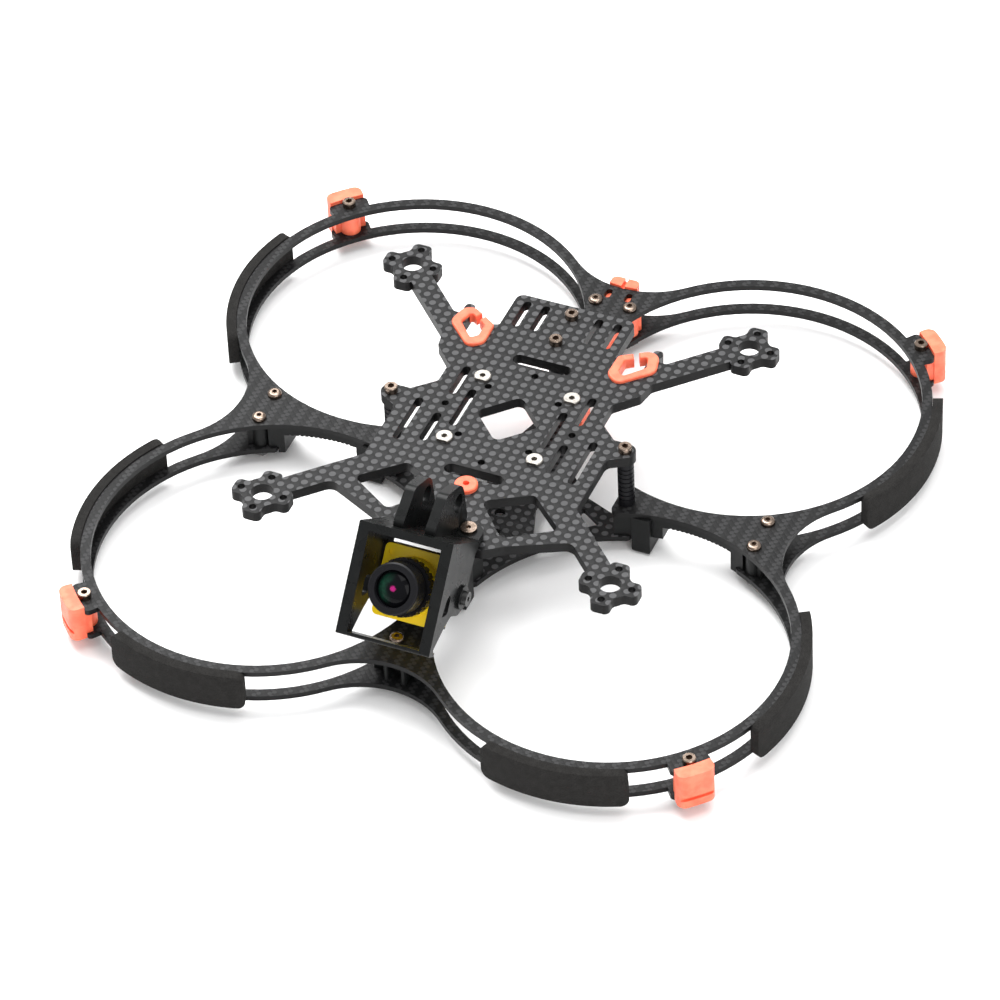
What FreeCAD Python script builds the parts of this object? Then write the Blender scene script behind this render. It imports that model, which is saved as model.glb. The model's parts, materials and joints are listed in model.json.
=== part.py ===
import FreeCAD, Part
import math
import os

# Cinewhoop racing drone frame kit with ducted guard rings and a tilting camera.
# Millimetres, +Z up, the nose points to -Y. The origin is the middle of the
# flight controller hole pattern on the top face of the main plate.

V = FreeCAD.Vector
UP = V(0, 0, 1)
ROOT2 = math.sqrt(2)

# main plate
MAIN_T = 3.0
MOTOR_XY = 48.7
ARM_W = 6.0
MOTOR_PCD = 12.0
MOTOR_SCREW_D = 2.0
MOTOR_BORE_D = 6.0
LOBE_W = 5.3
LOBE_REACH = 8.1
SCALLOP_R = 1.7
WAIST_X = 23.3
SHOULDER_X = 30.0
TAIL_X = 17.0
TAIL_Y = 47.5
NOSE_Y = -49.0
NOSE_X = 13.2
SLOT_W = 2.2
STRAP_SLOT_W = 3.6
STRAP_SLOT_L = 16.6
STRAP_SLOT_Y = 22.9
BAY_HALF = 9.2
FC_PITCH = 20.0
FC_WIDE_PITCH = 25.5
FC_HOLE_D = 2.0
EAR_X = 33.3
EAR_Y = -0.6
EAR_R = 2.8
EAR_DEG = 30.0
NUB_X = 25.7
NUB_Y = 39.0
NOTCH_X = 19.4
GROMMET_Y = -28.0
GROMMET_HOLE_R = 1.6

# guard
GUARD_T = 1.5
STANDOFF_L = 15.0
RING_GAP = 7.0
RING_IN_R = 46.0
RING_OUT_R = 48.7
JUNCTION_S = 78.5
TONGUE_S = 30.5
LOWER_PAD_S = 66.0
TAB_R = 52.2
TAB_HALF_DEG = 6.2
TAB_SCREW_R = 50.3
BOTTOM_T = 1.5
FOOT_DROP = 4.0
BLOCK_INSET = 0.8
BLOCK_BAR_T = 3.0
FOOT_HALF_W = 4.4
FOOT_S0 = 36.0
FOOT_S1 = 41.2
REAR_FOOT_HALF_W = 5.5
OUTER_INSET = 2.2
BOSS_R = 2.2
PLATE_FIT = 0.05
SIDE_SCREW_S = 70.8
SIDE_SCREW_W = 5.0
FRONT_SCREW_X = -2.2
FRONT_SCREW_S = 69.8
SHORT_END_S = 73.5
REAR_SCREW_S = 71.2
REAR_POST_Y = (43.4, 32.4)
INNER_SCREW_S = 33.6

# aerial holder
HUMP_HALF_W = 4.0
HUMP_END_Y = 82.0
HUMP_TOP = 0.7
AERIAL_R = 1.25
AERIAL_DEPTH = 6.0

# screws
M2_D = 2.0
M2_HOLE_D = 2.1
CAP_HEAD_D = 3.6
CAP_HEAD_H = 1.8
BUTTON_HEAD_D = 3.9
BUTTON_HEAD_H = 1.3
DISC_HEAD_D = 4.6
DISC_HEAD_H = 0.9
HEX_AF = 1.3
CAP_HEX_AF = 1.6
NUT_AF = 4.0
NUT_H = 1.6
STANDOFF_D = 4.4
THREAD_GAP = 0.04

# soft pads and bumpers
PAD_IN_R = 48.75
PAD_OUT_R = 51.5
PAD_RISE = 0.5
PAD_DROP = 0.4
PAD_SPANS = ((158, 212, -1, 1), (148, 202, -1, -1), (243, 288, -1, -1),
             (-32, 22, 1, 1), (-22, 32, 1, -1), (252, 297, 1, -1))
BUMPER_OUT_R = 56.2
BUMPER_HALF_DEG = 5.4
BUMPER_RISE = 1.1
BUMPER_LIFT = 0.3

# camera cage, measured along its own tilted axes
TILT_DEG = 38.6
CAGE_Y = -73.9
CAGE_Z = 4.2
CAGE_W = 26.0
CAGE_H = 29.6
CAGE_WALL = 3.0
CAGE_TOP_T = 2.2
CAGE_SILL_T = 1.1
CAGE_ROOF_D = 22.0
FLANGE_T = 2.2
FLANGE_Y = -41.6
FLANGE_SCREW_X = 8.0
FLANGE_SCREW_Y = -44.8
FIN_X = 4.4
FIN_T = 2.8
FIN_PIN_Y = -45.5
FIN_PIN_Z = 11.0
FIN_PIN_D = 5.2

# camera
PIVOT_D = 17.0
BODY = 19.0
BACK_BODY = 17.0
BODY_FRONT_D = 13.8
BODY_SPLIT_D = 18.2
BODY_BACK_D = 22.6
BODY_WALL = 1.2
LENS_R = 6.8
LENS_TIP_D = -1.4
LENS_THREAD_R = 6.0
LOCK_RING_R = 7.7
THREAD_FIT = 0.05
GLASS_R = 4.9
GLASS_FIT = 0.03
GLASS_BALL_R = 8.6

# arm clips
CLIP_TOP = 1.0
CLIP_BOT = -2.2
CLIP_SLIT_W = 1.5
CLIP_OUTER = ((17.6, 25.2, 2.5), (21.3, 22.2, 2.5), (29.6, 30.2, 3.0), (27.6, 38.8, 3.0), (17.8, 32.6, 1.5))
CLIP_INNER = ((20.2, 27.2, 0.8), (21.9, 25.6, 0.8), (26.6, 30.8, 1.2), (25.4, 35.0, 0.8), (20.2, 31.6, 0.8))

GUARD_TOP_Z = -MAIN_T - STANDOFF_L
UPPER_BOT_Z = GUARD_TOP_Z - GUARD_T
LOWER_TOP_Z = UPPER_BOT_Z - RING_GAP
LOWER_BOT_Z = LOWER_TOP_Z - GUARD_T
PLATE_BOT_Z = LOWER_TOP_Z - BOTTOM_T
FOOT_Z = LOWER_BOT_Z - FOOT_DROP
AERIAL_Z = (UPPER_BOT_Z + LOWER_TOP_Z) / 2
FILLET_R = ((JUNCTION_S - MOTOR_XY) ** 2 + MOTOR_XY ** 2 - RING_OUT_R ** 2) / (
    2 * (RING_OUT_R - JUNCTION_S + MOTOR_XY))
TANGENT_S = JUNCTION_S + FILLET_R - FILLET_R * (JUNCTION_S + FILLET_R - MOTOR_XY) / (
    FILLET_R + RING_OUT_R)
TANGENT_W = FILLET_R * MOTOR_XY / (FILLET_R + RING_OUT_R)
DISC_XY = FC_WIDE_PITCH / 2


def box(x0, x1, y0, y1, z0, z1):
    return Part.makeBox(x1 - x0, y1 - y0, z1 - z0, V(x0, y0, z0))


def rod(x, y, r, z0, z1):
    return Part.makeCylinder(r, z1 - z0, V(x, y, z0), UP)


def cross_rod(x0, x1, y, z, r):
    return Part.makeCylinder(r, x1 - x0, V(x0, y, z), V(1, 0, 0))


def fuse(shapes):
    whole = shapes[0]
    if len(shapes) > 1:
        whole = whole.fuse(shapes[1:])
    return whole.removeSplitter()


def outline(points):
    """Closed face from (x, y, corner radius) points."""
    edges = []
    ends = []
    count = len(points)
    for i, (x, y, r) in enumerate(points):
        here = V(x, y, 0)
        before = V(points[i - 1][0], points[i - 1][1], 0)
        after = V(points[(i + 1) % count][0], points[(i + 1) % count][1], 0)
        to_before = (before - here).normalize()
        to_after = (after - here).normalize()
        half = to_before.getAngle(to_after) / 2
        back = r / math.tan(half)
        start = here + to_before * back
        end = here + to_after * back
        if r > 0:
            inward = (to_before + to_after).normalize()
            middle = here + inward * (r / math.sin(half) - r)
            edges.append(Part.Arc(start, middle, end).toShape())
        ends.append((start, end))
    for i in range(count):
        a = ends[i][1]
        b = ends[(i + 1) % count][0]
        if (b - a).Length > 1e-6:
            edges.append(Part.makeLine(a, b))
    return Part.Face(Part.Wire(Part.__sortEdges__(edges)))


def slab(points, z0, z1):
    shape = outline(points).extrude(V(0, 0, z1 - z0))
    shape.translate(V(0, 0, z0))
    return shape


def side_slab(points, x0, x1):
    """Extrude (y, z, corner radius) points along X."""
    shape = slab(points, x0, x1)
    shape.rotate(V(0, 0, 0), V(1, 1, 1), 120)
    return shape


def both_sides(points):
    return points + [(-x, y, r) for x, y, r in reversed(points)]


def mirror_x(shape):
    return shape.mirror(V(0, 0, 0), V(1, 0, 0))


def slot(x, y, length, width, z0, z1, along_x=False):
    """Rounded slot about a point, along Y unless told otherwise."""
    half = length / 2
    end = width / 2 - 0.01
    shape = slab([(-half, -width / 2, end), (half, -width / 2, end),
                  (half, width / 2, end), (-half, width / 2, end)], z0, z1)
    if not along_x:
        shape.rotate(V(0, 0, 0), UP, 90)
    shape.translate(V(x, y, 0))
    return shape


def round_uprights(shape, r, test):
    edges = [e for e in shape.Edges
             if len(e.Vertexes) == 2 and e.Curve.TypeId == "Part::GeomLine"
             and abs(e.tangentAt(e.FirstParameter).z) > 0.99 and test(e.Vertexes[0].Point)]
    return shape.makeFillet(r, edges) if edges else shape


def sector(cx, cy, r0, r1, deg0, deg1, z0, z1):
    outer = Part.makeCylinder(r1, z1 - z0, V(cx, cy, z0), UP, deg1 - deg0)
    inner = Part.makeCylinder(r0, z1 - z0, V(cx, cy, z0), UP)
    outer.rotate(V(cx, cy, 0), UP, deg0)
    return outer.cut(inner)


def quarter_turns(shape, count=4):
    turned = []
    for i in range(count):
        copy = shape.copy()
        copy.rotate(V(0, 0, 0), UP, 90 * i)
        turned.append(copy)
    return turned


def hex_prism(x, y, across, z0, z1):
    r = across / math.sqrt(3)
    points = [(x + r * math.cos(math.radians(60 * i)), y + r * math.sin(math.radians(60 * i)), 0)
              for i in range(6)]
    return slab(points, z0, z1)


def cap_screw(x, y, z_seat, z_tip):
    head = rod(x, y, CAP_HEAD_D / 2, z_seat, z_seat + CAP_HEAD_H)
    rim = [e for e in head.Edges if abs(e.BoundBox.ZMin - head.BoundBox.ZMax) < 1e-6]
    head = head.makeChamfer(0.2, rim)
    body = fuse([head, rod(x, y, M2_D / 2, z_tip, z_seat + 0.2)])
    return body.cut(hex_prism(x, y, CAP_HEX_AF, z_seat + CAP_HEAD_H - 1.2, z_seat + CAP_HEAD_H + 1))


def button_screw(x, y, z_seat, z_tip):
    head = rod(x, y, BUTTON_HEAD_D / 2, z_seat, z_seat + BUTTON_HEAD_H)
    rim = [e for e in head.Edges if abs(e.BoundBox.ZMin - head.BoundBox.ZMax) < 1e-6]
    head = head.makeFillet(0.85, rim)
    body = fuse([head, rod(x, y, M2_D / 2, z_tip, z_seat + 0.2)])
    return body.cut(hex_prism(x, y, HEX_AF, z_seat + BUTTON_HEAD_H - 0.8, z_seat + BUTTON_HEAD_H + 1))


def flip(shape, z):
    """Turn a screw upside down about a level."""
    turned = shape.copy()
    turned.rotate(V(0, 0, z), V(1, 0, 0), 180)
    return turned


def under_screw(x, y, z_seat, z_tip):
    """Button screw fitted from below."""
    return flip(button_screw(x, -y, -z_seat, -z_tip), 0)


def nut(x, y, z0):
    body = hex_prism(x, y, NUT_AF, z0, z0 + NUT_H)
    return body.cut(rod(x, y, M2_D / 2 + THREAD_GAP, z0 - 1, z0 + NUT_H + 1))


def motor_mount():
    """One motor seat at the plate corner, with four screw lobes."""
    seat = rod(0, 0, MOTOR_PCD / 2 - 0.6, -MAIN_T, 0)
    lobe = slab([(0, -LOBE_W / 2, 0.3), (LOBE_REACH, -LOBE_W / 2, 1.5),
                 (LOBE_REACH, LOBE_W / 2, 1.5), (0, LOBE_W / 2, 0.3)], -MAIN_T, 0)
    seat = fuse([seat] + quarter_turns(lobe))
    seat = round_uprights(seat, SCALLOP_R, lambda p: math.hypot(p.x, p.y) < MOTOR_PCD / 2 + 0.3)
    seat.translate(V(MOTOR_XY, MOTOR_XY, 0))
    return seat


def notch(gap):
    """Corner between the tail and a rear arm that holds a clip, drawn inwards by a gap."""
    edge = ARM_W / ROOT2 + gap * ROOT2
    left = NOTCH_X + gap
    return [(NUB_X - gap, NUB_Y, 1.2), (NUB_X - gap, NUB_X - gap + edge, 0.8),
            (21.6, 21.6 + edge, 0.3), (left, 28.4, 0.8), (left, 33.2, 1.0), (TAIL_X, 34.0, 0.6)]


def main_plate():
    half_arm = ARM_W / ROOT2
    out = MOTOR_XY - 2.0
    front_bar_x = 33.7
    slope = math.radians(EAR_DEG)
    ear_tip = EAR_X + EAR_R / math.tan(slope / 2)
    ear_foot = EAR_Y + EAR_R - (ear_tip - SHOULDER_X) * math.tan(slope)
    right = [
        (NOSE_X, NOSE_Y, 1.5), (18.0, -45.5, 2.0),
        (front_bar_x, -front_bar_x - half_arm, 3.0),
        (out, -out - half_arm, 0), (out + half_arm, -out, 0),
        (SHOULDER_X, half_arm - SHOULDER_X, 2.0), (SHOULDER_X, ear_foot, 2.5),
        (ear_tip, EAR_Y + EAR_R, EAR_R), (29.0, EAR_Y + EAR_R, 1.2),
        (WAIST_X, 7.5, 1.5), (WAIST_X, 14.6, 1.5), (29.0, 20.6, 1.2),
        (30.0, 30.0 - half_arm, 1.5),
        (out + half_arm, out, 0), (out, out + half_arm, 0),
        (30.6, 30.6 + half_arm, 1.0), (28.5, 34.8, 0.5), (28.5, NUB_Y, 1.2)]
    right += notch(0) + [(TAIL_X, TAIL_Y, 2.2)]
    plate = slab(both_sides(right), -MAIN_T, 0)
    mounts = quarter_turns(motor_mount())
    plate = fuse([plate] + mounts)
    z0, z1 = -MAIN_T - 1, 1
    holes = []
    for x, y, length in ((7.7, 40.0, 10.5), (13.1, 40.0, 10.5), (18.0, 9.7, 11.4), (13.0, 0.0, 15.0),
                         (18.0, -9.9, 11.4), (24.8, -9.0, 17.0)):
        for side in (-1, 1):
            holes.append(slot(side * x, y, length, SLOT_W, z0, z1))
    for y in (STRAP_SLOT_Y, -STRAP_SLOT_Y):
        holes.append(slot(0, y, STRAP_SLOT_L, STRAP_SLOT_W, z0, z1, True))
    holes.append(slab([(BAY_HALF, 0, 2), (0, BAY_HALF, 2), (-BAY_HALF, 0, 2), (0, -BAY_HALF, 2)], z0, z1))
    window = slab([(17.9, -24.7, 1.5), (28.9, -34.7, 1.5), (16.0, -42.9, 1.8), (5.8, -31.6, 1.8)], z0, z1)
    holes += [window, mirror_x(window)]
    for sx in (-1, 1):
        for sy in (-1, 1):
            mx, my = sx * MOTOR_XY, sy * MOTOR_XY
            holes.append(rod(mx, my, MOTOR_BORE_D / 2, z0, z1))
            for dx, dy in ((1, 0), (-1, 0), (0, 1), (0, -1)):
                holes.append(rod(mx + dx * MOTOR_PCD / 2, my + dy * MOTOR_PCD / 2, MOTOR_SCREW_D / 2, z0, z1))
            holes.append(rod(sx * FC_PITCH / 2, sy * FC_PITCH / 2, FC_HOLE_D / 2, z0, z1))
            holes.append(rod(sx * DISC_XY, sy * DISC_XY, M2_HOLE_D / 2, z0, z1))
        holes.append(rod(sx * FC_WIDE_PITCH / ROOT2, 0, FC_HOLE_D / 2, z0, z1))
        holes.append(rod(0, sx * FC_WIDE_PITCH / ROOT2, FC_HOLE_D / 2, z0, z1))
        holes.append(rod(sx * EAR_X, EAR_Y, M2_HOLE_D / 2, z0, z1))
        holes.append(rod(sx * FLANGE_SCREW_X, FLANGE_SCREW_Y, M2_HOLE_D / 2, z0, z1))
    for y in REAR_POST_Y:
        holes.append(rod(0, y, M2_HOLE_D / 2, z0, z1))
    holes.append(rod(0, GROMMET_Y, GROMMET_HOLE_R, z0, z1))
    return plate.cut(holes)


def web(s_in, s_out, inset, z0, z1):
    """Solid between the ring circles on the +Y side of the frame."""
    shape = box(-TANGENT_W, TANGENT_W, s_in, s_out, z0, z1)
    cuts = [rod(side * MOTOR_XY, MOTOR_XY, RING_IN_R + inset, z0 - 1, z1 + 1) for side in (-1, 1)]
    cuts.append(rod(0, JUNCTION_S + FILLET_R, FILLET_R + inset, z0 - 1, z1 + 1))
    return shape.cut(cuts)


def guard_plate(z_top, s_in, corner_r):
    """Four ring arcs joined by webs, with a bumper tab on each corner."""
    z0 = z_top - GUARD_T
    rings = []
    for sx in (-1, 1):
        for sy in (-1, 1):
            rings.append(rod(sx * MOTOR_XY, sy * MOTOR_XY, RING_OUT_R, z0, z_top))
    tab = sector(MOTOR_XY, MOTOR_XY, RING_IN_R + 1, TAB_R, 45 - TAB_HALF_DEG, 45 + TAB_HALF_DEG, z0, z_top)
    tab = round_uprights(tab, 1.2, lambda p: math.hypot(p.x - MOTOR_XY, p.y - MOTOR_XY) > TAB_R - 0.1)
    webs = quarter_turns(web(s_in, TANGENT_S, 0, z0, z_top))
    plate = rings[0].fuse(rings[1:] + webs + quarter_turns(tab))
    cuts = [box(-s_in, s_in, -s_in, s_in, z0 - 1, z_top + 1)]
    for sx in (-1, 1):
        for sy in (-1, 1):
            cuts.append(rod(sx * MOTOR_XY, sy * MOTOR_XY, RING_IN_R, z0 - 1, z_top + 1))
    plate = plate.cut(cuts).removeSplitter()
    plate = round_uprights(plate, corner_r, lambda p: abs(max(abs(p.x), abs(p.y)) - s_in) < 0.01)
    holes = [rod(FRONT_SCREW_X, -FRONT_SCREW_S, M2_HOLE_D / 2, z0 - 1, z_top + 1)]
    for side in (-1, 1):
        for w in (-SIDE_SCREW_W, SIDE_SCREW_W):
            holes.append(rod(side * SIDE_SCREW_S, w, M2_HOLE_D / 2, z0 - 1, z_top + 1))
        holes.append(rod(side * SIDE_SCREW_W, REAR_SCREW_S, M2_HOLE_D / 2, z0 - 1, z_top + 1))
        holes.append(slot(side * 2.9, 75.3, 3.5, 1.8, z0 - 1, z_top + 1))
    for sx in (-1, 1):
        for sy in (-1, 1):
            a = TAB_SCREW_R / ROOT2 + MOTOR_XY
            holes.append(rod(sx * a, sy * a, M2_HOLE_D / 2, z0 - 1, z_top + 1))
    if s_in < INNER_SCREW_S:
        holes += inner_screw_holes(z0 - 1, z_top + 1)
    return plate.cut(holes)


def inner_screw_holes(z0, z1):
    holes = [rod(side * EAR_X, EAR_Y, M2_HOLE_D / 2, z0, z1) for side in (-1, 1)]
    holes += [rod(0, y, M2_HOLE_D / 2, z0, z1) for y in REAR_POST_Y]
    holes.append(rod(0, -INNER_SCREW_S, M2_HOLE_D / 2, z0, z1))
    return holes


def bottom_plate():
    """Small X-shaped plate that ties the inner ends of the four blocks."""
    z0, z1 = PLATE_BOT_Z, LOWER_TOP_Z
    end = FOOT_S0 - 0.4
    right = [(4.0, -end, 0.8), (20.0, -20.0, 0), (end, -4.0, 0.8), (end, 1.6, 0.8), (29.0, 1.8, 6.0),
             (19.0, 5.8, 4.0), (8.5, 17.0, 5.0), (4.4, 31.0, 3.0), (4.4, REAR_POST_Y[0] + 3.4, 1.5)]
    plate = slab(both_sides(right), z0, z1)
    cuts = [rod(side * MOTOR_XY, -MOTOR_XY, RING_IN_R, z0 - 1, z1 + 1) for side in (-1, 1)]
    cuts += inner_screw_holes(z0 - 1, z1 + 1)
    wedge = slab([(26.4, -2.8, 0.5), (19.8, 1.6, 0.5), (20.6, -7.4, 0.5)], z0 - 1, z1 + 1)
    spoke = slab([(16.8, -9.5, 0.8), (15.8, 2.6, 0.8), (8.0, 9.6, 0.8), (8.0, -2.5, 0.8),
                  (12.0, -14.0, 0.8)], z0 - 1, z1 + 1)
    cuts += [wedge, mirror_x(wedge), spoke, mirror_x(spoke)]
    cuts.append(rod(0, -8.0, 1.5, z0 - 1, z1 + 1))
    cuts.append(slab([(3.2, -14.0, 0.6), (0, -27.0, 0.6), (-3.2, -14.0, 0.6)], z0 - 1, z1 + 1))
    cuts.append(slot(0, 16.0, 9.0, 3.0, z0 - 1, z1 + 1))
    return plate.cut(cuts)


def block(screws, foot_s0=FOOT_S0, foot_s1=FOOT_S1, foot_half_w=FOOT_HALF_W, inner_end=44.0):
    """Guard spacer on the +Y side: tall inner end with a foot, thin bar, short outer end."""
    top = UPPER_BOT_Z
    inner = web(TONGUE_S + 0.8, inner_end, BLOCK_INSET, LOWER_TOP_Z, top)
    bar = web(43.0, 67.0, BLOCK_INSET, top - BLOCK_BAR_T, top)
    outer = web(LOWER_PAD_S + 0.5, SHORT_END_S, OUTER_INSET, LOWER_TOP_Z, top)
    leg = web(64.0, LOWER_PAD_S + 2, BLOCK_INSET, LOWER_BOT_Z - 0.6, top)
    leg = leg.cut(web(LOWER_PAD_S - 0.3, JUNCTION_S, -2, LOWER_BOT_Z - 3, LOWER_TOP_Z))
    foot = box(-foot_half_w, foot_half_w, foot_s0, foot_s1, FOOT_Z, top)
    foot = foot.makeFillet(1.6, [e for e in foot.Edges if abs(e.BoundBox.ZMax - FOOT_Z) < 1e-6])
    bosses = [rod(w, screw_s, BOSS_R, LOWER_TOP_Z, top) for w, screw_s in screws]
    shape = fuse([inner, bar, outer, leg, foot] + bosses)
    teeth = []
    for i in range(14):
        s = 46.0 + 1.25 * i
        teeth.append(box(-8, 8, s, s + 0.5, top - BLOCK_BAR_T - 0.1, top - BLOCK_BAR_T + 0.25))
    ribs = []
    for side in (-1, 1):
        for s in (32.6, 34.4):
            ribs.append(rod(side * 6.4, s, 0.6, LOWER_TOP_Z - 1, top - 1.2))
    shape = shape.cut(teeth + ribs)
    for w, screw_s in screws:
        shape = drill(shape, w, screw_s)
    return shape


def drill(shape, x, y, r=M2_HOLE_D / 2):
    return shape.cut(rod(x, y, r, FOOT_Z - 5, GUARD_TOP_Z))


def side_block(side):
    shape = block([(-SIDE_SCREW_W, SIDE_SCREW_S), (SIDE_SCREW_W, SIDE_SCREW_S)])
    shape.rotate(V(0, 0, 0), UP, -90 * side)
    return drill(shape, side * EAR_X, EAR_Y)


def front_block():
    """Front spacer with two small hooks pointing forward."""
    shape = block([(-FRONT_SCREW_X, FRONT_SCREW_S)])
    shape.rotate(V(0, 0, 0), UP, 180)
    hooks = [slab([(x - 0.6, -SHORT_END_S + 1, 0), (x + 0.6, -SHORT_END_S + 1, 0),
                   (x + 0.6, -JUNCTION_S + 1.2, 0.5), (x - 0.6, -JUNCTION_S + 1.2, 0.5)],
                  LOWER_TOP_Z + 0.2, UPPER_BOT_Z - 0.2) for x in (-2.4, 2.4)]
    return drill(fuse([shape] + hooks), 0, -INNER_SCREW_S)


def rear_block():
    """Soft rear spacer whose narrow tail carries the aerial behind the rings."""
    screws = [(-SIDE_SCREW_W, REAR_SCREW_S), (SIDE_SCREW_W, REAR_SCREW_S)]
    shape = block(screws, 35.0, 41.0, REAR_FOOT_HALF_W, REAR_POST_Y[0] + 3.4)
    hump = slab([(-HUMP_HALF_W, SHORT_END_S - 2, 0), (HUMP_HALF_W, SHORT_END_S - 2, 0),
                 (HUMP_HALF_W, HUMP_END_Y, 1.6), (-HUMP_HALF_W, HUMP_END_Y, 1.6)],
                LOWER_TOP_Z + 0.2, GUARD_TOP_Z + HUMP_TOP)
    shape = fuse([shape, hump])
    plate_zone = web(JUNCTION_S - 20, TANGENT_S, -0.1, UPPER_BOT_Z, GUARD_TOP_Z + 6)
    crease = box(-0.5, 0.5, JUNCTION_S - 1, HUMP_END_Y + 1, GUARD_TOP_Z - 0.6, GUARD_TOP_Z + 2)
    tube = Part.makeCylinder(AERIAL_R, 30, V(0, JUNCTION_S - AERIAL_DEPTH, AERIAL_Z), V(0, 1, 0))
    tongue = box(-4.4 - PLATE_FIT, 4.4 + PLATE_FIT, 25, 60, PLATE_BOT_Z - PLATE_FIT, LOWER_TOP_Z)
    shape = shape.cut([plate_zone, crease, tube, tongue])
    for y in REAR_POST_Y:
        shape = drill(shape, 0, y)
    return shape


def foam_pad(deg0, deg1, sx, sy):
    """Soft strip around the outside of both guard plates."""
    cx, cy = sx * MOTOR_XY, sy * MOTOR_XY
    pad = sector(cx, cy, PAD_IN_R, PAD_OUT_R, deg0, deg1,
                 LOWER_BOT_Z - PAD_DROP, GUARD_TOP_Z + PAD_RISE)
    ends = [e for e in pad.Edges if e.Curve.TypeId == "Part::GeomLine" and abs(
        e.BoundBox.ZMin - e.BoundBox.ZMax) < 1e-6]
    return pad.makeFillet(2.4, ends)


def bumper():
    """Corner cap in front of the tab, with a post between the two guard plates."""
    c = MOTOR_XY
    low = LOWER_BOT_Z + BUMPER_LIFT
    cap = sector(c, c, TAB_R + 0.05, BUMPER_OUT_R, 45 - BUMPER_HALF_DEG, 45 + BUMPER_HALF_DEG,
                 low, GUARD_TOP_Z + BUMPER_RISE)
    rims = [e for e in cap.Edges if e.Curve.TypeId == "Part::GeomLine"
            and abs(e.tangentAt(e.FirstParameter).z) > 0.99
            and math.hypot(e.Vertexes[0].X - c, e.Vertexes[0].Y - c) > BUMPER_OUT_R - 0.1]
    cap = cap.makeFillet(2.2, rims)
    groove = sector(c, c, BUMPER_OUT_R - 0.7, BUMPER_OUT_R + 2, 30, 60, low + 2.3, low + 3.5)
    a = c + TAB_SCREW_R / ROOT2
    post = rod(a, a, 2.8, LOWER_TOP_Z, UPPER_BOT_Z)
    neck = sector(c, c, TAB_SCREW_R, TAB_R + 0.6, 45 - 5, 45 + 5, LOWER_TOP_Z, UPPER_BOT_Z)
    shape = fuse([cap.cut(groove), post, neck])
    return shape.cut(rod(a, a, M2_HOLE_D / 2, LOWER_TOP_Z - 1, UPPER_BOT_Z + 1))


def arm_clip(side):
    """Soft ring with a slit, lying on the arm root and filling the notch behind it."""
    slit = box(-CLIP_SLIT_W / 2, CLIP_SLIT_W / 2, 0, 8, CLIP_BOT - 1, CLIP_TOP + 1)
    slit.rotate(V(0, 0, 0), UP, 28)
    slit.translate(V(23.6, 32.0, 0))
    ring = slab(CLIP_OUTER, CLIP_BOT, CLIP_TOP).cut(
        [slab(CLIP_INNER, CLIP_BOT - 1, CLIP_TOP + 1), slit])
    rims = [e for e in ring.Edges if abs(e.BoundBox.ZMin - CLIP_TOP) < 1e-6]
    ring = ring.makeFillet(0.45, rims)
    lip = ring.common(box(0, 60, 0, 60, 0, 5))
    hook = ring.common(slab(notch(PLATE_FIT)[1:] + [(TAIL_X, 60, 0), (NUB_X - PLATE_FIT, 60, 0)], -5, 0))
    clip = fuse([lip, hook])
    return clip if side > 0 else mirror_x(clip)


def standoff(x, y):
    post = rod(x, y, STANDOFF_D / 2, GUARD_TOP_Z, -MAIN_T)
    grooves = []
    for i in range(8):
        z = GUARD_TOP_Z + 2.2 + 1.5 * i
        grooves.append(rod(x, y, STANDOFF_D, z, z + 0.35).cut(rod(x, y, STANDOFF_D / 2 - 0.2, z - 1, z + 1)))
    bore = rod(x, y, M2_D / 2 + THREAD_GAP, GUARD_TOP_Z - 1, 0)
    return post.cut(grooves + [bore])


def stack_screw(x, y):
    """Flat disc-head screw with one trimmed side, and its nut under the plate."""
    head = rod(x, y, DISC_HEAD_D / 2, 0, DISC_HEAD_H)
    rim = [e for e in head.Edges if abs(e.BoundBox.ZMin - DISC_HEAD_H) < 1e-6]
    head = head.makeChamfer(0.2, rim)
    head = head.cut(box(x - 4, x + 4, y - 4, y - DISC_HEAD_D / 2 + 0.5, -1, 2))
    body = fuse([head, rod(x, y, M2_D / 2, -MAIN_T - 3.0, 0.2)])
    return body.cut(hex_prism(x, y, HEX_AF + 0.2, -0.8, 2))


def grommet():
    """Rubber eyelet in the hole behind the nose."""
    flange = rod(0, GROMMET_Y, 3.1, 0, 1.3)
    flange = flange.makeFillet(0.5, [e for e in flange.Edges if abs(e.BoundBox.ZMin - 1.3) < 1e-6])
    stem = rod(0, GROMMET_Y, GROMMET_HOLE_R - PLATE_FIT, -MAIN_T - 1.4, 0.2)
    collar = rod(0, GROMMET_Y, 2.4, -MAIN_T - 1.4, -MAIN_T - 0.2)
    return fuse([flange, stem, collar]).cut(rod(0, GROMMET_Y, 0.85, -MAIN_T - 3, 3))


def cage_point(d, u):
    """Point at depth d behind the cage front plane and height u in that plane."""
    t = math.radians(TILT_DEG)
    return (CAGE_Y + d * math.cos(t) + u * math.sin(t), CAGE_Z - d * math.sin(t) + u * math.cos(t))


def cage_profile(points, x0, x1):
    placed = [cage_point(d, u) + (r,) for d, u, r in points]
    return side_slab(placed, x0, x1)


def along_lens(d0, d1, r):
    y, z = cage_point(d0, 0)
    return Part.makeCylinder(r, d1 - d0, V(0, y, z), lens_axis())


def lens_axis():
    t = math.radians(TILT_DEG)
    return V(0, math.cos(t), -math.sin(t))


def pivot_hole():
    y, z = cage_point(PIVOT_D, 0)
    return cross_rod(-20, 20, y, z, M2_D / 2 + THREAD_GAP)


def lens_box(half_x, d0, d1, u0, u1):
    return cage_profile([(d0, u0, 0), (d1, u0, 0), (d1, u1, 0), (d0, u1, 0)], -half_x, half_x)


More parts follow.
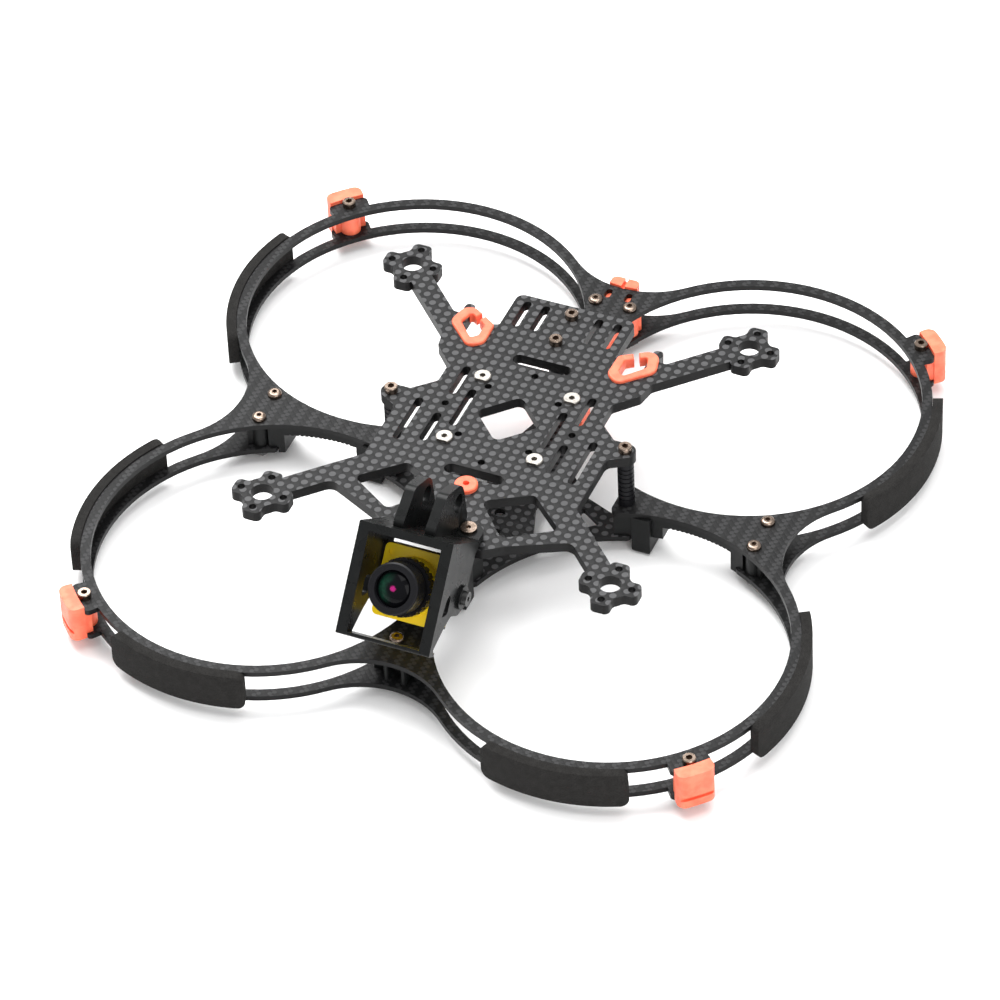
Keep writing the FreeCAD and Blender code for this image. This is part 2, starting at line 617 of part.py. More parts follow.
def camera_cage():
    half_w = CAGE_W / 2
    half_h = CAGE_H / 2
    inner_x = half_w - CAGE_WALL
    roof = cage_profile([(0, half_h - CAGE_TOP_T, 0), (CAGE_ROOF_D, half_h - CAGE_TOP_T - 1.2, 0),
                         (CAGE_ROOF_D + 1.6, half_h, 0), (0, half_h, 0)], -half_w, half_w)
    sill = cage_profile([(0, -half_h, 0.6), (4.2, -half_h, 0.6), (3.4, -half_h + CAGE_SILL_T, 0.3),
                         (0, -half_h + CAGE_SILL_T, 0)], -half_w, half_w)
    wall = cage_profile([(0, -half_h, 0.6), (3.0, -half_h, 0.6), (8.6, -8.0, 1.5), (12.2, -4.8, 2.0),
                         (17.2, -4.9, 3.0), (21.8, -2.2, 3.0), (20.4, 3.0, 1.5), (20.8, 11.0, 1.0),
                         (CAGE_ROOF_D + 1.6, half_h, 0.2), (0, half_h, 0)], inner_x, half_w)
    window = cage_profile([(5.0, -5.0, 1.0), (9.0, -4.0, 1.0), (9.0, 1.0, 1.5), (5.0, 1.0, 1.5)],
                          inner_x - 1, half_w + 1)
    relief = cage_profile([(1.2, -half_h - 1, 0), (30, -half_h - 1, 0), (30, 16, 0), (20.5, 14.0, 1.0),
                           (10.3, 5.2, 2.0), (4.2, 0.0, 2.0)], half_w - 0.7, half_w + 1)
    pivot_y, pivot_z = cage_point(PIVOT_D, 0)
    lobe = cross_rod(inner_x, half_w, pivot_y, pivot_z, 3.2)
    right = fuse([wall.cut([window, relief]), lobe])
    flange = slab(both_sides([(NOSE_X - 1.2, FLANGE_Y - 9.0, 0.8), (NOSE_X - 1.2, FLANGE_Y - 1.0, 3.0),
                              (4.0, FLANGE_Y, 2.0)]), 0, FLANGE_T)
    rear_y, rear_z = cage_point(CAGE_ROOF_D + 1.6, half_h)
    bridge = side_slab([(rear_y - 3.2, rear_z, 0), (rear_y, rear_z, 0), (FLANGE_Y - 5.0, FLANGE_T, 0),
                        (FLANGE_Y - 5.0, 0, 0), (rear_y - 3.2, rear_z - 3.0, 0)], -half_w + 1.2, half_w - 1.2)
    fin = side_slab([(-61.5, 13.0, 2.0), (-51.5, 18.9, 2.5), (-42.0, 15.0, 5.0), (-40.4, 2.0, 0.8),
                     (-47.0, 0.6, 0), (-58.0, 8.5, 0)], FIN_X - FIN_T / 2, FIN_X + FIN_T / 2)
    fin = fin.cut(cross_rod(0, 20, FIN_PIN_Y, FIN_PIN_Z, FIN_PIN_D / 2))
    cage = fuse([roof, sill, right, mirror_x(right), flange, bridge, fin, mirror_x(fin)])
    below = box(-40, 40, NOSE_Y - 1.0, 0, -12, 0)
    cage = cage.cut([below, pivot_hole()])
    for side in (-1, 1):
        x, y = side * FLANGE_SCREW_X, FLANGE_SCREW_Y
        cage = cage.cut([rod(x, y, M2_HOLE_D / 2, -2, 4), rod(x, y, 2.5, FLANGE_T, 12)])
    return cage


def flange_screw(side):
    x, y = side * FLANGE_SCREW_X, FLANGE_SCREW_Y
    head = rod(x, y, 2.15, FLANGE_T, FLANGE_T + 0.8)
    body = fuse([head, rod(x, y, M2_D / 2, -MAIN_T - 2.2, FLANGE_T + 0.2)])
    return body.cut(hex_prism(x, y, HEX_AF, FLANGE_T + 0.25, FLANGE_T + 2))


def camera_front():
    """Front half of the camera shell with the threaded lens seat."""
    h = BODY / 2
    inside = h - BODY_WALL
    shell = lens_box(h, BODY_FRONT_D, BODY_SPLIT_D, -h, h)
    shell = shell.makeFillet(1.4, [e for e in shell.Edges if e.Length < BODY / 2])
    cavity = lens_box(inside, BODY_FRONT_D + BODY_WALL, BODY_SPLIT_D + 1, -inside, inside)
    collar = along_lens(9.6, BODY_FRONT_D + 3.2, LENS_THREAD_R + 1.6)
    shell = fuse([shell.cut(cavity), collar])
    dimples = []
    for sx in (-1, 1):
        for u in (-1, 1):
            y, z = cage_point(BODY_FRONT_D - 0.5, u * (h - 2.2))
            dimples.append(Part.makeCylinder(1.0, 1.0, V(sx * (h - 2.2), y, z), lens_axis()))
    return shell.cut(dimples + [along_lens(0, 40, LENS_THREAD_R + THREAD_FIT), pivot_hole()])


def camera_back():
    """Smaller rear half of the shell, with a thin flange against the front half."""
    h = BACK_BODY / 2
    inside = h - BODY_WALL
    flange = lens_box(BODY / 2 - 0.2, BODY_SPLIT_D, BODY_SPLIT_D + 0.6, 0.2 - BODY / 2, BODY / 2 - 0.2)
    shell = lens_box(h, BODY_SPLIT_D, BODY_BACK_D, -h, h)
    shell = shell.makeFillet(1.4, [e for e in shell.Edges if e.Length < BACK_BODY / 2])
    cavity = lens_box(inside, BODY_SPLIT_D - 1, BODY_BACK_D - BODY_WALL, -inside, inside)
    port = lens_box(3.0, BODY_BACK_D - 3, BODY_BACK_D + 2, -6.5, -3.5)
    return fuse([shell, flange]).cut([cavity, port])


def pivot_screws():
    """Two short screws through the cage walls into the camera shell sides."""
    y, z = cage_point(PIVOT_D, 0)
    half_w = CAGE_W / 2
    tip = BODY / 2 - BODY_WALL - 0.6
    seat = half_w + THREAD_GAP
    screw = fuse([cross_rod(seat, seat + BUTTON_HEAD_H, y, z, BUTTON_HEAD_D / 2),
                  cross_rod(tip, half_w + 0.2, y, z, M2_D / 2)])
    socket = hex_prism(0, 0, HEX_AF, 0, 2)
    socket.rotate(V(0, 0, 0), V(0, 1, 0), 90)
    socket.translate(V(half_w + 0.5, y, z))
    screw = screw.cut(socket)
    return Part.makeCompound([screw, mirror_x(screw)])


def sensor_board():
    h = BACK_BODY / 2 - BODY_WALL - 0.2
    board = lens_box(h, 19.4, 20.4, -h, h)
    chip = lens_box(3.4, BODY_SPLIT_D, 19.4, -3.4, 3.4)
    return fuse([board, chip])


def lens_barrel():
    """Barrel with a bevelled rim, three shallow grip grooves and the mounting thread."""
    front = along_lens(LENS_TIP_D, 4.6, LENS_R)
    edge = [e for e in front.Edges if e.Curve.TypeId == "Part::GeomCircle"
            and (e.Curve.Center - along_lens(LENS_TIP_D, 4.6, 1).Faces[0].Surface.Center).Length < 1e-3]
    front = front.makeChamfer(0.4, edge)
    cuts = [along_lens(LENS_TIP_D - 1, 3.6, GLASS_R), along_lens(3, 18, 3.6)]
    for i in range(3):
        groove = along_lens(0.9 + 0.9 * i, 1.2 + 0.9 * i, LENS_R + 1)
        cuts.append(groove.cut(along_lens(0, 6, LENS_R - 0.25)))
    return fuse([front, along_lens(4.4, 17.0, LENS_THREAD_R)]).cut(cuts)


def lens_glass():
    """Domed front element on a smaller shoulder."""
    y, z = cage_point(LENS_TIP_D + 0.2 + GLASS_BALL_R, 0)
    ball = Part.makeSphere(GLASS_BALL_R, V(0, y, z))
    front = along_lens(LENS_TIP_D, 3.6, GLASS_R - GLASS_FIT)
    return fuse([front.common(ball), along_lens(3.4, 4.2, 3.6 - GLASS_FIT)])


def lock_ring():
    ring = along_lens(5.9, 9.1, LOCK_RING_R)
    cuts = [along_lens(5, 10, LENS_THREAD_R + THREAD_FIT)]
    for i in range(24):
        a = math.radians(15 * i)
        u = LOCK_RING_R * math.sin(a)
        cy, cz = cage_point(5.0, u)
        cuts.append(Part.makeCylinder(0.4, 6, V(LOCK_RING_R * math.cos(a), cy, cz), lens_axis()))
    return ring.cut(cuts)


def save(name, shape):
    if shape.ShapeType == "Compound" and len(shape.Solids) == 1:
        shape = shape.Solids[0]
    if not shape.isValid():
        raise ValueError("bad solid in " + name)
    shape.exportStep("parts/" + name + ".step")


def join_parts(shapes):
    return Part.makeCompound(shapes)


def build():
    os.makedirs("parts", exist_ok=True)
    save("main_plate", main_plate())
    save("upper_guard_plate", guard_plate(GUARD_TOP_Z, TONGUE_S, 1.8))
    save("lower_guard_plate", guard_plate(LOWER_TOP_Z, LOWER_PAD_S, 1.0))
    save("bottom_plate", bottom_plate())
    save("left_spacer_block", side_block(-1))
    save("right_spacer_block", side_block(1))
    save("front_spacer_block", front_block())
    save("rear_aerial_block", rear_block())
    places = (("rear_right", 0), ("rear_left", 90), ("front_left", 180), ("front_right", 270))
    for name, deg in places:
        turned = bumper()
        turned.rotate(V(0, 0, 0), UP, deg)
        save(name + "_bumper", turned)
    names = ("rear_left_pad", "front_left_side_pad", "front_left_nose_pad",
             "rear_right_pad", "front_right_side_pad", "front_right_nose_pad")
    for name, span in zip(names, PAD_SPANS):
        save(name, foam_pad(*span))
    save("left_arm_clip", arm_clip(-1))
    save("right_arm_clip", arm_clip(1))
    save("left_standoff", standoff(-EAR_X, EAR_Y))
    save("right_standoff", standoff(EAR_X, EAR_Y))
    save("rear_standoff_outer", standoff(0, REAR_POST_Y[0]))
    save("rear_standoff_inner", standoff(0, REAR_POST_Y[1]))
    save("front_grommet", grommet())
    posts = [(-EAR_X, EAR_Y), (EAR_X, EAR_Y)] + [(0, y) for y in REAR_POST_Y]
    save("top_cap_screws", join_parts([cap_screw(x, y, 0, -MAIN_T - 6) for x, y in posts]))
    discs = [(sx * DISC_XY, sy * DISC_XY) for sx in (-1, 1) for sy in (-1, 1)]
    save("stack_screws", join_parts([stack_screw(x, y) for x, y in discs]))
    save("stack_nuts", join_parts([nut(x, y, -MAIN_T - NUT_H) for x, y in discs]))
    tip = LOWER_BOT_Z - NUT_H - 0.4
    junctions = [(side * SIDE_SCREW_S, w) for side in (-1, 1) for w in (-SIDE_SCREW_W, SIDE_SCREW_W)]
    junctions += [(side * SIDE_SCREW_W, REAR_SCREW_S) for side in (-1, 1)]
    junctions.append((FRONT_SCREW_X, -FRONT_SCREW_S))
    save("junction_screws", join_parts([button_screw(x, y, GUARD_TOP_Z, tip) for x, y in junctions]))
    save("junction_nuts", join_parts([nut(x, y, LOWER_BOT_Z - NUT_H) for x, y in junctions]))
    a = MOTOR_XY + TAB_SCREW_R / ROOT2
    corners = [(sx * a, sy * a) for sx in (-1, 1) for sy in (-1, 1)]
    save("bumper_screws", join_parts([cap_screw(x, y, GUARD_TOP_Z, tip) for x, y in corners]))
    save("bumper_nuts", join_parts([nut(x, y, LOWER_BOT_Z - NUT_H) for x, y in corners]))
    unders = [under_screw(x, y, PLATE_BOT_Z, GUARD_TOP_Z + 6) for x, y in posts]
    unders.append(under_screw(0, -INNER_SCREW_S, PLATE_BOT_Z, GUARD_TOP_Z + NUT_H + 0.4))
    save("underside_screws", join_parts(unders))
    save("front_tongue_nut", nut(0, -INNER_SCREW_S, GUARD_TOP_Z))
    save("camera_cage", camera_cage())
    save("cage_flange_screws", join_parts([flange_screw(-1), flange_screw(1)]))
    save("cage_flange_nuts", join_parts([nut(side * FLANGE_SCREW_X, FLANGE_SCREW_Y, -MAIN_T - NUT_H)
                                         for side in (-1, 1)]))
    save("camera_front_shell", camera_front())
    save("camera_back_shell", camera_back())
    save("camera_pivot_screws", pivot_screws())
    save("camera_sensor_board", sensor_board())
    save("lens_barrel", lens_barrel())
    save("lens_glass", lens_glass())
    save("lens_lock_ring", lock_ring())


build()
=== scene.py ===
import json
import math

import bpy
from mathutils import Matrix, Vector


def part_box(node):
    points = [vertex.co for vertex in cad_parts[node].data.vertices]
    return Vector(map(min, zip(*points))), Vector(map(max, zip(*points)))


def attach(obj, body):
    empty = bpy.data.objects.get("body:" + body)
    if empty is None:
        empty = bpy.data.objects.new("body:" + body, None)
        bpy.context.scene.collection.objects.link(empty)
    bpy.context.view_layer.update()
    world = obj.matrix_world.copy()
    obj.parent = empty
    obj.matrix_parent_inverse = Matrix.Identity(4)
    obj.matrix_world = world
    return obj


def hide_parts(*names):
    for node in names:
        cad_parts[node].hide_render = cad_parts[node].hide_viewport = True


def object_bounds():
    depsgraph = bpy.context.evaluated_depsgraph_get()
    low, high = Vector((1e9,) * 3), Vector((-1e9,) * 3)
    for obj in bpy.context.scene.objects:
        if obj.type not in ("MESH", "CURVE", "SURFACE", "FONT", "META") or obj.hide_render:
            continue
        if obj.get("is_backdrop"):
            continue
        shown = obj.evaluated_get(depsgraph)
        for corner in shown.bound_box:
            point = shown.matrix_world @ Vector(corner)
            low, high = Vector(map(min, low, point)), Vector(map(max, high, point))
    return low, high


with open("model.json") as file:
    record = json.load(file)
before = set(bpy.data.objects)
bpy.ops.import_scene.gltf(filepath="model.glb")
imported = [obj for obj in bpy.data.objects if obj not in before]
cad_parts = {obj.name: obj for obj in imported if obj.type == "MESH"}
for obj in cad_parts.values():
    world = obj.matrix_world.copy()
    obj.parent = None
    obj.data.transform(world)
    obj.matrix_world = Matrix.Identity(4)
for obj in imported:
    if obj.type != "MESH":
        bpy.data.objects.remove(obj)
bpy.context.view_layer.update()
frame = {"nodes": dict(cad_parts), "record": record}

NODES = frame["nodes"]
MM = 0.001

# sizes that the part has too, in millimetres: the motor axes, and the foam strips' two faces about them
MOTOR_XY = 48.7
PAD_IN_R = 48.75
PAD_OUT_R = 51.5

# the camera's tilt, and where its optical axis passes the middle of the cage's front, in millimetres
TILT = math.radians(38.6)
LENS_AXIS_Y = -73.9
LENS_AXIS_Z = 4.2

# sizes that only the looks need, in millimetres
PAD_END_R = 2.4
PAD_EDGE_R = 0.5
MERGE_GAP = 0.01
CARBON_LAYER = 0.22
PRINT_LAYER = 0.3

# squares of a tow's half length and half width where it lies on top, in weave pitches
TOW_LONG = 0.29
TOW_WIDE = 0.27

# steps of the foam strips: round each end, and along the ring between the ends
END_STEPS = 6
RING_STEPS = 36
SHARP_EDGE = math.radians(50)

ORANGE = (0.93, 0.135, 0.062, 1)
FOAM_BLACK = (0.009, 0.0085, 0.008, 1)
FOAM_GREY = (0.028, 0.027, 0.026, 1)


class Wire:
    """A node's output that takes part in arithmetic."""

    def __init__(self, shader, socket):
        self.shader = shader
        self.socket = socket

    def join(self, operation, other, flipped=False):
        pair = (other, self) if flipped else (self, other)
        return self.shader.node("Math", {"operation": operation}, {0: pair[0], 1: pair[1]})

    def __add__(self, other):
        return self.join("ADD", other)

    def __sub__(self, other):
        return self.join("SUBTRACT", other)

    def __rsub__(self, other):
        return self.join("SUBTRACT", other, True)

    def __mul__(self, other):
        return self.join("MULTIPLY", other)

    def __truediv__(self, other):
        return self.join("DIVIDE", other)

    def __lt__(self, other):
        return self.join("LESS_THAN", other)

    def __mod__(self, other):
        return self.join("FLOORED_MODULO", other)

    def one(self, operation):
        return self.shader.node("Math", {"operation": operation}, {0: self})


class Shader:
    """A node material built on a principled surface, with places in millimetres."""

    def __init__(self, name):
        self.material = bpy.data.materials.new(name)
        self.material.use_nodes = True
        self.tree = self.material.node_tree
        self.surface = self.tree.nodes["Principled BSDF"]
        metres = self.node("TexCoord", out="Object")
        self.spot = self.node("VectorMath", {"operation": "SCALE"}, {0: metres, "Scale": 1000.0})

    def node(self, kind, settings=None, inputs=None, out=0):
        """Add a node of this kind; inputs holds the values or links of its sockets."""
        made = self.tree.nodes.new("ShaderNode" + kind)
        for key, value in (settings or {}).items():
            setattr(made, key, value)
        for key, value in (inputs or {}).items():
            self.feed(made.inputs[key], value)
        return Wire(self, made.outputs[out])

    def feed(self, socket, value):
        if isinstance(value, Wire):
            self.tree.links.new(value.socket, socket)
        else:
            socket.default_value = value

    def axes(self, vector=None):
        """The three parts of a vector, or of the place."""
        return [self.node("SeparateXYZ", None, {0: vector or self.spot}, out=i) for i in range(3)]

    def facing_up(self):
        """1 on a level face, above or below, and 0 on an upright one."""
        return self.axes(self.node("NewGeometry", out="Normal"))[2].one("ABSOLUTE")

    def noise(self, scale, detail, spot=None):
        return self.node("TexNoise", None, {"Vector": spot or self.spot, "Scale": scale, "Detail": detail})

    def streaks(self, lengths, detail):
        """Noise drawn out to these lengths along the three axes."""
        spot = self.node("Mapping", {"vector_type": "TEXTURE"}, {"Vector": self.spot, "Scale": lengths})
        return self.noise(1.0, detail, spot)

    def step(self, value, low, high):
        """A soft step from 0 at low to 1 at high, which may lie the other way round."""
        return self.node("MapRange", {"interpolation_type": "SMOOTHSTEP"},
                         {"Value": value, "From Min": low, "From Max": high})

    def mix(self, amount, a, b):
        return self.node("Mix", {"data_type": "RGBA"}, {0: amount, 6: a, 7: b}, out=2)

    def bump(self, height, strength, depth):
        return self.node("Bump", None, {"Height": height, "Strength": strength, "Distance": depth * MM})

    def finish(self, **sockets):
        for key, value in sockets.items():
            self.feed(self.surface.inputs[key.replace("_", " ")], value)
        return self.material


def grey(value):
    """A grey with a touch of blue, as carbon and its resin have."""
    return (value, value, value * 1.03, 1)


def woven_carbon(name, pitch, repeat, light, dark, rough, depth):
    """Laminate with tows that pass over and under each other, and bare layers at the cut edge.

    The tows run at 45 degrees to the nose, and the weave starts again after repeat crossings.
    """
    s = Shader(name)
    x, y, z = s.axes()
    diagonal = pitch * math.sqrt(2)
    u = (x + y) / diagonal
    v = (x - y) / diagonal
    along = u.one("FRACT") - 0.5
    across = v.one("FRACT") - 0.5
    lane = (u.one("FLOOR") + v.one("FLOOR")) % float(repeat)
    over = lane < repeat / 2
    weft = ((along * along) / TOW_LONG + (across * across) / TOW_WIDE).one("SQRT")
    warp = ((along * along) / TOW_WIDE + (across * across) / TOW_LONG).one("SQRT")
    weft_pad = s.step(weft, 1.0, 0.78)
    warp_pad = s.step(warp, 1.05, 0.55)
    strand = s.streaks((6.0, 0.35, 1.0), 2.0)
    stain = s.noise(0.09, 2.0)
    tone = s.mix(weft_pad * over, grey(dark), grey(light))
    tone = s.mix(warp_pad * (1 - over) * 0.4, tone, grey(dark * 1.8))
    tone = s.mix((strand - 0.5) * 0.5 + 0.15, tone, grey(dark * 0.8))
    layers = (z / CARBON_LAYER).one("FRACT")
    fibre_ends = s.streaks((2.5, 2.5, 0.12), 3.0)
    edge = s.mix(s.step(layers, 0.5, 0.9) * fibre_ends, grey(dark * 0.55), grey(dark * 1.5))
    top = s.step(s.facing_up(), 0.5, 0.8)
    colour = s.mix(top, edge, tone)
    height = (weft_pad * over + warp_pad * (1 - over)) * top
    return s.finish(Base_Color=colour, Roughness=stain * 0.12 + rough, Normal=s.bump(height, depth, 0.08),
                    Specular_IOR_Level=0.16)


def layered_plastic(name, colour):
    """Soft printed plastic: fine layers stacked in height, and light that sinks in a little."""
    s = Shader(name)
    height = s.axes()[2]
    ring = (height * (2 * math.pi / PRINT_LAYER)).one("SINE")
    cloud = s.noise(0.35, 3.0)
    grain = s.noise(3.5, 2.0)
    deep = tuple(c * 0.72 for c in colour[:3]) + (1,)
    pale = (min(colour[0] * 1.08, 1), colour[1] * 1.5, colour[2] * 1.7, 1)
    tone = s.mix(s.step(cloud, 0.3, 0.7), colour, pale)
    tone = s.mix(s.step(ring, 0.2, 1.0) * 0.25, tone, deep)
    normal = s.bump(ring * 0.5 + grain, 0.35, 0.06)
    return s.finish(Base_Color=tone, Roughness=grain * 0.2 + 0.38, Normal=normal,
                    Subsurface_Weight=0.12, Subsurface_Scale=0.002)


def closed_cell_foam(name):
    """Dull black foam with small closed cells."""
    s = Shader(name)
    cells = s.node("TexVoronoi", None, {"Vector": s.spot, "Scale": 3.2}, out="Distance")
    cloud = s.noise(0.5, 4.0)
    tone = s.mix(s.step(cells, 0.15, 0.5) * cloud, FOAM_BLACK, FOAM_GREY)
    return s.finish(Base_Color=tone, Roughness=cloud * 0.1 + 0.82,
                    Normal=s.bump(cells + cloud * 0.5, 0.7, 0.16),
                    Specular_IOR_Level=0.12)


def moulded_black(name, rough, shine):
    """Moulded nylon with a fine grain and a faint flow mottling."""
    s = Shader(name)
    grain = s.noise(5.0, 3.0)
    flow = s.noise(0.25, 2.0)
    tone = s.mix(flow, (0.004, 0.0044, 0.0044, 1), (0.009, 0.0097, 0.0097, 1))
    return s.finish(Base_Color=tone, Roughness=flow * 0.18 + (rough - 0.06),
                    Normal=s.bump(grain, 0.25, 0.03), Specular_IOR_Level=shine)


def turned_metal(name, colour, rough, stain_colour):
    """Machined steel with fine scratches and darker patches."""
    s = Shader(name)
    scratch = s.streaks((0.25, 2.0, 0.25), 3.0)
    patch = s.noise(0.9, 2.0)
    tone = s.mix(s.step(patch, 0.4, 0.75) * 0.6, colour, stain_colour)
    return s.finish(Base_Color=tone, Metallic=1.0, Roughness=scratch * 0.2 + rough,
                    Normal=s.bump(scratch, 0.1, 0.01))


def anodised_black(name, rough):
    """Black anodised aluminium with a fine grain."""
    s = Shader(name)
    fine = s.noise(4.0, 2.0)
    tone = s.mix(fine, (0.005, 0.005, 0.006, 1), (0.012, 0.012, 0.014, 1))
    return s.finish(Base_Color=tone, Metallic=0.2, Roughness=fine * 0.12 + rough,
                    Normal=s.bump(fine, 0.1, 0.02), Specular_IOR_Level=0.15)


def yellow_shell(name):
    """Moulded yellow plastic, a little uneven in colour."""
    s = Shader(name)
    grain = s.noise(4.0, 3.0)
    cloud = s.noise(0.3, 2.0)
    tone = s.mix(cloud, (0.96, 0.72, 0.0, 1), (0.84, 0.58, 0.0, 1))
    return s.finish(Base_Color=tone, Roughness=grain * 0.15 + 0.28, Normal=s.bump(grain, 0.15, 0.03))


def glass_with_painted_reflections(name):
    """Dark lens glass with a painted magenta reflection in the middle and a painted green reflection on the
    -X side.
    """
    s = Shader(name)
    x, y, z = s.axes()
    up = (y - LENS_AXIS_Y) * math.sin(TILT) + (z - LENS_AXIS_Z) * math.cos(TILT)
    radius = (x * x + up * up).one("SQRT")
    cloud = s.noise(1.1, 2.0)
    # painted magenta reflection of the lens coating, round the middle of the lens
    centre = s.step(radius + (cloud - 0.5) * 1.2, 0.95, 0.3)
    # painted green reflection of the lens coating, in a ring on the -X side of the lens
    left = s.step(x, 0.5, -3.0) * s.step(radius, 4.6, 3.6) * s.step(radius, 1.2, 2.4)
    tone = s.mix(left * cloud, (0.003, 0.003, 0.004, 1), (0.008, 0.05, 0.028, 1))
    tone = s.mix(centre, tone, (0.30, 0.012, 0.12, 1))
    return s.finish(Base_Color=tone, Roughness=0.09, Specular_IOR_Level=0.06,
                    Coat_Weight=0.04, Coat_Roughness=0.05)


def board_green(name):
    """Circuit board with paler copper tracks under its lacquer."""
    s = Shader(name)
    tracks = s.node("TexBrick", None, {"Vector": s.spot, "Scale": 1.2, "Color1": (0.01, 0.06, 0.03, 1),
                                       "Color2": (0.015, 0.09, 0.045, 1), "Mortar": (0.03, 0.16, 0.08, 1)})
    return s.finish(Base_Color=tracks, Roughness=s.noise(1.0, 3.0) * 0.2 + 0.3)


def soft_studio_floor(name):
    s = Shader(name)
    cloud = s.noise(0.003, 2.0)
    tone = s.mix(cloud, (0.93, 0.93, 0.93, 1), (0.95, 0.95, 0.95, 1))
    return s.finish(Base_Color=tone, Roughness=0.9, Specular_IOR_Level=0.1)


# one finish for each material slot of the part
FINISHES = {
    "carbon_plate": woven_carbon("plain_weave_carbon", pitch=1.95, repeat=2, light=0.078, dark=0.010,
                                 rough=0.36, depth=0.4),
    "carbon_guard": woven_carbon("twill_weave_carbon", pitch=1.3, repeat=4, light=0.030, dark=0.008,
                                 rough=0.34, depth=0.3),
    "orange_soft_plastic": layered_plastic("orange_soft_plastic", ORANGE),
    "black_foam": closed_cell_foam("closed_cell_foam"),
    "black_moulding": moulded_black("moulded_black", 0.40, 0.14),
    "black_column": anodised_black("anodised_column", 0.35),
    "yellow_shell": yellow_shell("yellow_camera_shell"),
    "circuit_board": board_green("sensor_board"),
    "lens_black": anodised_black("anodised_lens", 0.28),
    "lens_glass": glass_with_painted_reflections("lens_glass_painted_reflections"),
    "bright_steel": turned_metal("bright_screw_steel", (0.40, 0.38, 0.35, 1), 0.30, (0.24, 0.225, 0.21, 1)),
    "bronze_steel": turned_metal("bronze_screw_steel", (0.27, 0.21, 0.17, 1), 0.13, (0.12, 0.085, 0.06, 1)),
    "dark_steel": turned_metal("dark_nut_steel", (0.12, 0.12, 0.12, 1), 0.3, (0.05, 0.05, 0.05, 1)),
}

# the camera cage is glossier than the other black mouldings
NODE_FINISHES = {"camera_cage": moulded_black("cage_black", 0.26, 0.16)}


def dress(thing, finish):
    thing.data.materials.clear()
    thing.data.materials.append(finish)


def dress_nodes():
    """Give each piece of the part the finish of its material slot."""
    slots = {row["node"]: row["material_slot"] for row in frame["record"]["subparts"]}
    for name, node in NODES.items():
        dress(node, NODE_FINISHES.get(name, FINISHES[slots[name]]))


def deselect():
    """Leave edit mode and select nothing."""
    if bpy.context.object and bpy.context.object.mode != "OBJECT":
        bpy.ops.object.mode_set(mode="OBJECT")
    bpy.ops.object.select_all(action="DESELECT")


def pick(thing):
    deselect()
    thing.select_set(True)
    bpy.context.view_layer.objects.active = thing


def settle(thing):
    """Put the piece's place into its mesh."""
    pick(thing)
    bpy.ops.object.transform_apply(location=True, rotation=True, scale=True)


def apply_modifier(thing, kind, **settings):
    modifier = thing.modifiers.new(kind.lower(), kind)
    for key, value in settings.items():
        setattr(modifier, key, value)
    pick(thing)
    bpy.ops.object.modifier_apply(modifier=modifier.name)


def turn_section(centre, angle, steps=1):
    """Sweep the selected section round the motor axis, anticlockwise seen from above."""
    bpy.ops.mesh.spin(steps=steps, angle=-angle, center=centre, axis=(0, 0, 1))


def foam_pad(node_name, side_x, side_y, start_deg, end_deg, low, high):
    """Foam strip bent round a ring: a section spun about the motor axis.

    The section grows over the first steps and shrinks over the last, which rounds the strip's corners.
    """
    deselect()
    centre = Vector((side_x * MOTOR_XY, side_y * MOTOR_XY, 0)) * MM
    middle_r = (PAD_IN_R + PAD_OUT_R) / 2
    start = math.radians(start_deg)
    turn = math.radians(end_deg - start_deg)
    tip = PAD_END_R / middle_r
    place = centre + Vector((math.cos(start), math.sin(start), 0)) * middle_r * MM
    place.z = (low + high) / 2
    full = high - low
    quarter = [math.pi / 2 * i / END_STEPS for i in range(END_STEPS + 1)]
    heights = [full - 2 * PAD_END_R * MM * (1 - math.sin(angle)) for angle in quarter]
    turns = [tip * (1 - math.cos(angle)) for angle in quarter]
    bpy.ops.mesh.primitive_plane_add(size=1, location=place, rotation=(math.pi / 2, 0, start))
    pad = bpy.context.object
    pad.name = node_name + "_foam"
    pad.scale = ((PAD_OUT_R - PAD_IN_R) * MM, heights[0], 1)
    settle(pad)
    bpy.ops.object.mode_set(mode="EDIT")
    bpy.ops.mesh.select_all(action="SELECT")
    for i in range(1, END_STEPS + 1):
        turn_section(centre, turns[i] - turns[i - 1])
        bpy.ops.transform.resize(value=(1, 1, heights[i] / heights[i - 1]), center_override=place)
    turn_section(centre, turn - 2 * tip, RING_STEPS)
    for i in range(END_STEPS, 0, -1):
        turn_section(centre, turns[i] - turns[i - 1])
        bpy.ops.transform.resize(value=(1, 1, heights[i - 1] / heights[i]), center_override=place)
    bpy.ops.mesh.select_all(action="SELECT")
    bpy.ops.mesh.remove_doubles(threshold=MERGE_GAP * MM)
    bpy.ops.mesh.normals_make_consistent(inside=False)
    bpy.ops.object.mode_set(mode="OBJECT")
    apply_modifier(pad, "BEVEL", width=PAD_EDGE_R * MM, segments=3, limit_method="ANGLE",
                   angle_limit=SHARP_EDGE)
    bpy.ops.object.shade_smooth_by_angle(angle=SHARP_EDGE)
    dress(pad, FINISHES["black_foam"])
    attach(pad, "frame")
    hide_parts(node_name)


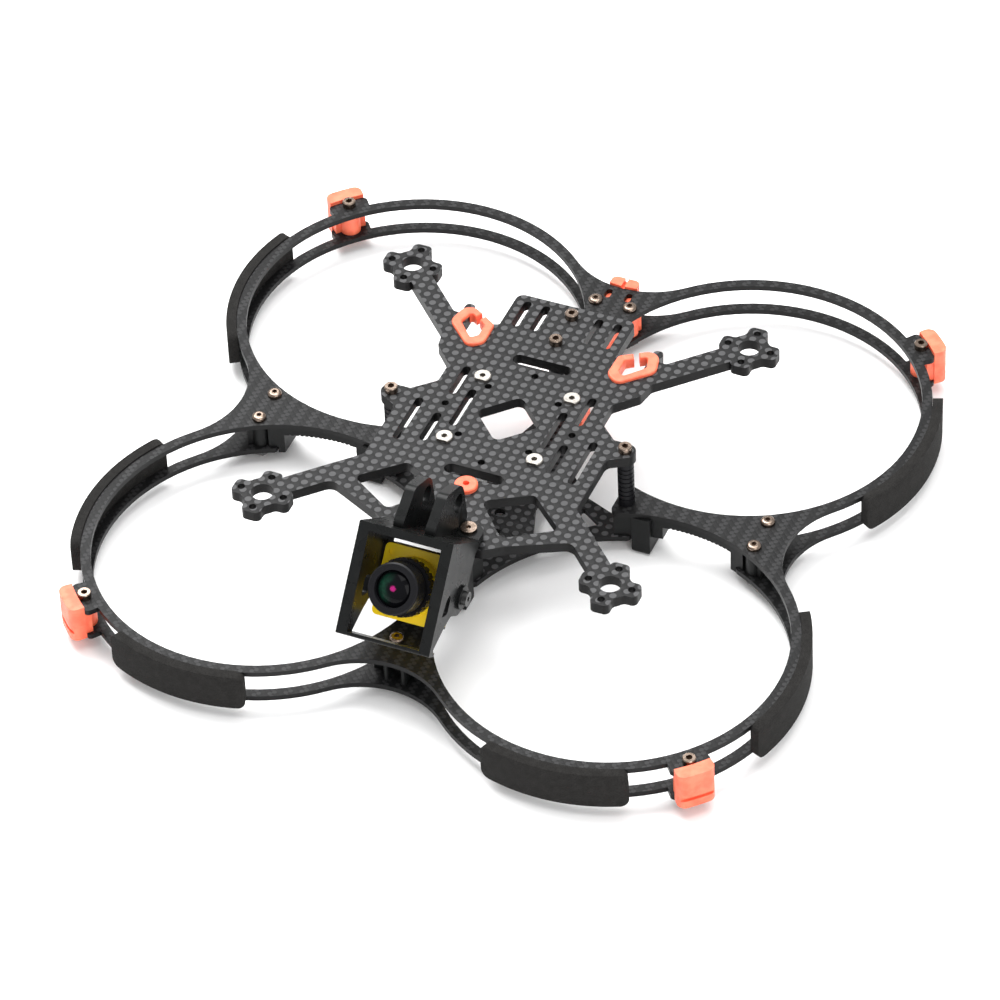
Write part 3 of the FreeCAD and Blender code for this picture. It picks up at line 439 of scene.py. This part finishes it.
def foam_pads():
    """Six strips: the ring each is on, and its first and last angle in degrees round the motor axis."""
    spans = {
        "rear_left_pad": (-1, 1, 158, 212),
        "front_left_side_pad": (-1, -1, 148, 202),
        "front_left_nose_pad": (-1, -1, 243, 288),
        "rear_right_pad": (1, 1, -32, 22),
        "front_right_side_pad": (1, -1, -22, 32),
        "front_right_nose_pad": (1, -1, 252, 297),
    }
    for name, (side_x, side_y, start, end) in spans.items():
        low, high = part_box(name)
        foam_pad(name, side_x, side_y, start, end, low.z, high.z)


def studio():
    """White floor and sky, and three soft lights, each with its place, size and power."""
    floor_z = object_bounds()[0][2]
    deselect()
    bpy.ops.mesh.primitive_plane_add(size=6, location=(0, 0, floor_z))
    floor = bpy.context.object
    floor.name = "studio_floor"
    dress(floor, soft_studio_floor("studio_floor"))
    floor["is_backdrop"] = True
    world = bpy.data.worlds.new("studio")
    world.use_nodes = True
    world.node_tree.nodes["Background"].inputs["Color"].default_value = (1, 1, 1, 1)
    world.node_tree.nodes["Background"].inputs["Strength"].default_value = 0.75
    bpy.context.scene.world = world
    lights = (("key", (-0.5, 0.35, 1.0), 0.8, 16.0), ("fill", (0.8, -0.7, 0.7), 0.7, 5.0),
              ("top", (0.1, 0.1, 1.3), 1.2, 14.0))
    for name, spot, size, power in lights:
        bpy.ops.object.light_add(type="AREA", location=spot)
        lamp = bpy.context.object
        lamp.name = name + "_light"
        lamp.data.size = size
        lamp.data.energy = power
        lamp.rotation_euler = (-Vector(spot)).to_track_quat("-Z", "Y").to_euler()


def camera():
    """Long lens looking down at the nose from the right."""
    azimuth, elevation, roll = math.radians(24.82), math.radians(42.59), math.radians(-2.69)
    aim = Vector((10.19, -29.61, 0)) * MM
    distance = 1587 * MM
    back = Vector((math.sin(azimuth) * math.cos(elevation), -math.cos(azimuth) * math.cos(elevation),
                   math.sin(elevation)))
    level = Vector((0, 0, 1)).cross(back).normalized()
    rise = back.cross(level)
    right = level * math.cos(roll) + rise * math.sin(roll)
    up = rise * math.cos(roll) - level * math.sin(roll)
    data = bpy.data.cameras.new("camera")
    data.lens = 221.2
    data.sensor_width = 36
    view = bpy.data.objects.new("camera", data)
    bpy.context.scene.collection.objects.link(view)
    view.matrix_world = Matrix.Translation(aim + back * distance) @ Matrix(
        (right, up, back)).transposed().to_4x4()
    bpy.context.scene.camera = view


dress_nodes()
foam_pads()
studio()
camera()
bpy.context.scene.view_settings.view_transform = "Standard"
